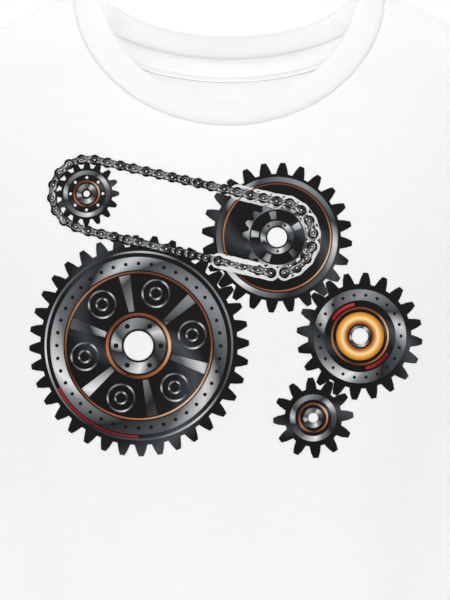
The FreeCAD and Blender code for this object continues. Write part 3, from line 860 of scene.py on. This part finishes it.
def chain_plate(mesh, length, half_width, middle, height, turn=0.0):
    """Presses a plate with round ends, or a disc if its length is nought."""
    first = len(mesh.verts)
    bmesh.ops.create_circle(mesh, cap_ends=True, segments=14, radius=half_width)
    mesh.verts.ensure_lookup_table()
    fresh = mesh.verts[first:]
    bmesh.ops.rotate(mesh, verts=fresh, matrix=Matrix.Rotation(0.05, 3, "Z"))
    bmesh.ops.rotate(mesh, verts=fresh, matrix=Matrix.Rotation(math.pi / 2, 3, "X"))
    for vertex in fresh:
        vertex.co.x += math.copysign(length / 2, vertex.co.x)
    pressed(mesh, first, middle, height, turn)


def round_about(middle, radius, count, start=0.0):
    """Evenly spread angles and places on a circle."""
    turns = [math.radians(start) + 2 * math.pi * number / count for number in range(count)]
    x, y = middle
    return [(turn, (x + radius * math.cos(turn), y + radius * math.sin(turn))) for turn in turns]


def rings(middle, *bands):
    """Presses rings and arcs round a middle, steel on the black and the other inks over steel."""
    for mesh, inner, outer, *arc in bands:
        arc_band(mesh, inner, outer, middle, 0.2 if mesh is steel else 0.26, *arc)


def holes(middle, radius, count, size, start=0.0):
    """Presses a circle of drilled holes."""
    for _, place in round_about(middle, radius, count, start):
        chain_plate(dark, 0, size, place, 0.26)


# The wheels stand where they mesh: each next one on the last one's pitch circle, a tooth in a gap.
black, steel, dark, copper, amber, red, pale = (ink_layer() for _ in range(7))
BORE_SHARE = 0.14
TRAIN = [(36, 0), (24, 38), (20, -50), (12, -120)]  # teeth, and the way from the wheel before
wheels, middle, turn, last = [], (-62.0, -30.0), 0.2, None
for teeth, heading in TRAIN:
    if last:
        heading = math.radians(heading)
        apart = (last + teeth) * TOOTH_PITCH / 2
        middle = (middle[0] + apart * math.cos(heading), middle[1] + apart * math.sin(heading))
        past = (heading - turn) * last / (2 * math.pi)
        turn = heading + math.pi - (0.5 - past) * 2 * math.pi / teeth
    wheels.append((middle, turn))
    gear_wheel(black, teeth, teeth * TOOTH_PITCH / 2 * BORE_SHARE, middle, 0.14, turn)
    last = teeth

# The great wheel: a steel rim with drilled holes, six spokes between six round windows, bolted hub.
middle, turn = wheels[0]
rings(middle, (steel, 63.2, 64.6), (steel, 51.5, 60.5))
holes(middle, 56, 40, 1.25)
for angle, place in round_about(middle, 37.5, 6, math.degrees(turn)):
    rings(place, (steel, 8.6, 9.8), (steel, 3.4, 4.6))
    rings(middle, (steel, 23.6, 48.6, math.degrees(angle) + 25.5, 9))
rings(middle, (steel, 11.5, 19.0), (copper, 20.4, 22.4))
holes(middle, 15.3, 6, 1.7)
rings(middle, (red, 61.2, 62.6, 208, 62), (copper, 49.4, 50.6))

# The middle wheel, which the chain turns: a steel rim outside the chain and a spoked hub inside it.
middle, _ = wheels[1]
rings(middle, (steel, 38.0, 41.6), (copper, 36.2, 37.2), (steel, 7.8, 11.4))
for angle, _ in round_about(middle, 15, 5, 20):
    rings(middle, (steel, 12.6, 18.0, math.degrees(angle), 16))
holes(middle, 9.6, 5, 0.9, 56)

# The third wheel: a glowing amber ring in a steel drum, with two red sectors.
middle, _ = wheels[2]
rings(middle, (steel, 24.5, 32.0), (copper, 18.6, 19.8), (amber, 8.6, 16.4), (steel, 5.6, 7.4))
holes(middle, 28.2, 22, 1.1)
rings(middle, (red, 21.0, 23.0, 100, 48), (red, 21.0, 23.0, 280, 48))

# The small wheel: a turned steel boss with a copper bush.
middle, _ = wheels[3]
rings(middle, (steel, 12.4, 16.0), (copper, 9.0, 10.2), (steel, 3.6, 6.8))

# The chain: two rollers to a link, plates over them in turn inside and outside, round its own small
# wheel at the left and round the middle wheel. Bare cloth's colour sets it off from what it crosses.
chain_wheel, driven = Vector((-98.0, 74.0)), Vector(wheels[1][0])
SEAT, DRIVEN_SEAT = 24.0, 24.8  # radii of the line of pins
run_along = driven - chain_wheel
heading = math.atan2(run_along.y, run_along.x)
spread = math.acos((SEAT - DRIVEN_SEAT) / run_along.length)
straight = math.sqrt(run_along.length_squared - (SEAT - DRIVEN_SEAT) ** 2)
parts = [straight, DRIVEN_SEAT * 2 * spread, straight, SEAT * 2 * (math.pi - spread)]
PINS = 2 * round(sum(parts) / 9.0 / 2)


def chain_pin(number):
    """Where a pin of the chain is, counted from the top of its own small wheel."""
    past = sum(parts) * (number % PINS) / PINS
    for part, length in enumerate(parts):
        if past <= length:
            break
        past -= length
    middle, radius = (chain_wheel, SEAT) if part in (0, 3) else (driven, DRIVEN_SEAT)
    angle = heading + (spread if part in (0, 1) else -spread)
    if part in (1, 3):
        angle -= past / radius
    pin = middle + radius * Vector((math.cos(angle), math.sin(angle)))
    forward = (1, 0, -1, 0)[part]
    return pin + Vector((math.cos(heading), math.sin(heading))) * forward * past


gear_middle = tuple(chain_wheel)
gear_wheel(black, 16, 2.2, gear_middle, 0.14, 0.0, 22.4, 4.6)
gear_wheel(steel, 17, 19.0, tuple(driven), 0.2, 0.1, 23.6, 3.6)
rings(gear_middle, (steel, 13.2, 16.2), (steel, 3.6, 7.0), (copper, 8.2, 9.2))
for _, place in round_about(gear_middle, 11.2, 8):
    chain_plate(pale, 0, 1.0, place, 0.2)
for number in range(PINS):
    start, end = chain_pin(number), chain_pin(number + 1)
    run_along, place = end - start, tuple((start + end) / 2)
    angle, lift = math.atan2(run_along.y, run_along.x), 0.03 * (number % 2)
    if (Vector(place) - driven).length < 41:
        chain_plate(pale, run_along.length, 5.4, place, 0.2 + lift / 2, angle)
    chain_plate(black, 0, 3.7, tuple(start), 0.26, angle)
    chain_plate(black, run_along.length, 2.7, place, 0.24 + lift / 2, angle)
    chain_plate(steel, run_along.length, 1.7 + 0.4 * (number % 2), place, 0.29 + lift, angle)
    chain_plate(dark, 0, 1.35, tuple(start), 0.35, angle)
    chain_plate(pale, 0, 0.6, tuple(start), 0.38, angle)


# The inks look flat and dull like a transfer, with drawn highlights that run round each wheel.
def ink(name, roughness, stops, by_distance=0.0):
    """An ink whose colour runs round each shape's middle, or out from it over a distance."""
    material, shader = new_material(name, stops[0][1], roughness, Specular_IOR_Level=0.1)
    motif = node(material, "UVMap", {"uv_map": "motif"}).outputs["UV"]
    length = node(material, "VectorMath", {"operation": "LENGTH"}, {0: motif})
    reach = length.outputs["Value"]
    if by_distance:
        values = {0: reach, 1: by_distance}
        share = node(material, "Math", {"operation": "DIVIDE"}, values)
    else:
        radial = {"gradient_type": "RADIAL"}
        turned = node(material, "TexGradient", radial, {"Vector": motif})
        values = {0: reach, 1: 0.005, 2: turned.outputs["Fac"]}
        shifted = node(material, "Math", {"operation": "MULTIPLY_ADD"}, values)
        share = node(material, "Math", {"operation": "FRACT"}, {0: shifted.outputs[0]})
    values, into = {"Fac": share.outputs[0]}, shader.inputs["Base Color"]
    node(material, "ValToRGB", inputs=values, stops=stops, into=into)
    knitted(material, shader, 0.25)
    return material


STEEL_STOPS = [
    (0.00, "#3E4246"), (0.06, "#C6CACC"), (0.12, "#232528"), (0.23, "#66696D"),
    (0.34, "#E6E7E8"), (0.39, "#7C8083"), (0.48, "#1D1F21"), (0.60, "#54585B"),
    (0.68, "#D4D6D7"), (0.74, "#333639"), (0.88, "#8E9295"), (1.00, "#3E4246"),
]
BLACK_STOPS = [
    (0.00, "#0B0B0D"), (0.10, "#0E0E10"), (0.16, "#34373B"), (0.22, "#0D0D0F"),
    (0.42, "#09090B"), (0.56, "#131416"), (0.64, "#43464B"), (0.70, "#101012"),
    (0.90, "#0C0C0E"), (1.00, "#0B0B0D"),
]
COPPER_STOPS = [
    (0.00, "#6B3A22"), (0.15, "#C07A4A"), (0.30, "#4A2415"), (0.50, "#B86A3A"),
    (0.62, "#F0C39A"), (0.75, "#8A4A2A"), (1.00, "#6B3A22"),
]
AMBER_STOPS = [
    (0.0, "#7A3C10"), (0.54, "#B8621C"), (0.68, "#FFE2A6"),
    (0.80, "#F0A13A"), (1.0, "#6E3410"),
]
RED_STOPS = [
    (0.0, "#A5121A"), (0.25, "#D8323A"), (0.5, "#6E0B10"),
    (0.75, "#E2555A"), (1.0, "#A5121A"),
]
HOLE_STOPS = [(0.0, "#08080A"), (1.0, "#1A1A1D")]
PALE_STOPS = [(0.0, "#F1F1F0"), (1.0, "#EDEDEC")]
INKS = [
    ("print_black", black, ink("black_transfer_ink", 0.5, BLACK_STOPS)),
    ("print_steel", steel, ink("steel_grey_transfer_ink", 0.5, STEEL_STOPS)),
    ("print_holes", dark, ink("deep_black_transfer_ink", 0.55, HOLE_STOPS, 12.0)),
    ("print_copper", copper, ink("copper_transfer_ink", 0.5, COPPER_STOPS)),
    ("print_amber", amber, ink("amber_transfer_ink", 0.5, AMBER_STOPS, 18.0)),
    ("print_red", red, ink("red_transfer_ink", 0.5, RED_STOPS)),
    ("print_light", pale, ink("pale_transfer_ink", 0.6, PALE_STOPS, 12.0)),
]
for name, mesh, material in INKS:
    film = finished(mesh, name, material)
    wall = film.modifiers.new("film", "SOLIDIFY")
    wall.thickness, wall.offset = INK_FILM, -1
    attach(film, "root")
    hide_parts("chest_print")

# The stage: a plain pale floor well below the hem, a white surround, and soft studio lights. The
# camera stands 2.1 m in front of the shirt and level with the print. The floor looks matt, and for
# the camera alone it fades to white with distance, so that no horizon shows behind the shirt.
FLOOR_HEIGHT = -1.35
FADE_START, FADE_END = 2.2, 6.5
WHITE = (1, 1, 1, 1)
floor_mesh = bmesh.new()
bmesh.ops.create_grid(floor_mesh, x_segments=1, y_segments=1, size=8)
bmesh.ops.translate(floor_mesh, verts=floor_mesh.verts, vec=(0, 0, FLOOR_HEIGHT))
floor_paint, floor_shader = new_material("matt_floor_paint", "#EDEDEC", 0.9)
place = node(floor_paint, "TexCoord").outputs["Object"]
far = node(floor_paint, "VectorMath", {"operation": "LENGTH"}, {0: place})
values = {"Value": far.outputs["Value"], "From Min": FADE_START, "From Max": FADE_END}
far = node(floor_paint, "MapRange", {"interpolation_type": "SMOOTHSTEP"}, values)
seen = node(floor_paint, "LightPath").outputs["Is Camera Ray"]
values = {0: far.outputs["Result"], 1: seen}
share = node(floor_paint, "Math", {"operation": "MULTIPLY"}, values)
white = node(floor_paint, "Emission", inputs={"Color": WHITE, "Strength": 1.0})
values = {0: share.outputs[0], 1: floor_shader.outputs[0], 2: white.outputs[0]}
into = floor_paint.node_tree.nodes["Material Output"].inputs["Surface"]
node(floor_paint, "MixShader", inputs=values, into=into)
floor = finished(floor_mesh, "floor", floor_paint)

world = bpy.data.worlds.new("surround")
bpy.context.scene.world = world
world.use_nodes = True
ambient = world.node_tree.nodes["Background"]
ambient.inputs["Color"].default_value = WHITE
ambient.inputs["Strength"].default_value = 0.68
white = node(world, "Background", inputs={"Color": WHITE})
rays = node(world, "LightPath").outputs
values = {0: rays["Is Camera Ray"], 1: rays["Is Glossy Ray"]}
seen = node(world, "Math", {"operation": "MAXIMUM"}, values)
values = {0: seen.outputs[0], 1: ambient.outputs[0], 2: white.outputs[0]}
into = world.node_tree.nodes["World Output"].inputs["Surface"]
node(world, "MixShader", inputs=values, into=into)


def soft_light(name, place, target, width, power):
    """A square studio light that looks at a target."""
    lamp = bpy.data.lights.new(name, "AREA")
    lamp.shape, lamp.size, lamp.energy = "SQUARE", width, power
    holder = bpy.data.objects.new(name, lamp)
    holder.location = place
    holder.rotation_euler = (Vector(target) - Vector(place)).to_track_quat("-Z", "Y").to_euler()
    holder.visible_camera = False
    bpy.context.scene.collection.objects.link(holder)


# The last two stand just above the floor for the light that it throws back up into the shirt.
CHEST = (0, 0, -0.25)
soft_light("key", (-1.3, -1.7, 1.6), CHEST, 1.4, 8.4)
soft_light("front", (-0.15, -2.6, 0.3), CHEST, 2.2, 6.2)
soft_light("high_front", (0, -1.2, 2.0), (0, 0, 0), 1.2, 8.5)
soft_light("left", (-2.3, -1.0, 0.0), CHEST, 1.8, 3.6)
soft_light("right", (2.3, -1.0, 0.0), CHEST, 1.8, 4.0)
soft_light("right_front", (1.9, -1.9, 0.2), CHEST, 1.8, 2.4)
soft_light("rear", (0.4, 2.4, 0.6), CHEST, 1.8, 9)
soft_light("floor_bounce", (0, 0.05, -1.3), (0, 0.05, 0), 0.7, 9.2)
soft_light("neck_bounce", (0, 0, -1.3), (0, 0.02, 0), 0.12, 0.06)
bpy.data.lights["neck_bounce"].spread = math.radians(14)

camera = bpy.data.cameras.new("camera")
camera.sensor_width, camera.lens = 36, 176.5
camera.clip_end = 50
viewer = bpy.data.objects.new("camera", camera)
viewer.location = (-0.003, -2.105, -0.223)
viewer.rotation_euler = (math.pi / 2, 0, 0)
bpy.context.scene.collection.objects.link(viewer)
bpy.context.scene.camera = viewer
bpy.context.scene.view_settings.view_transform = "Standard"
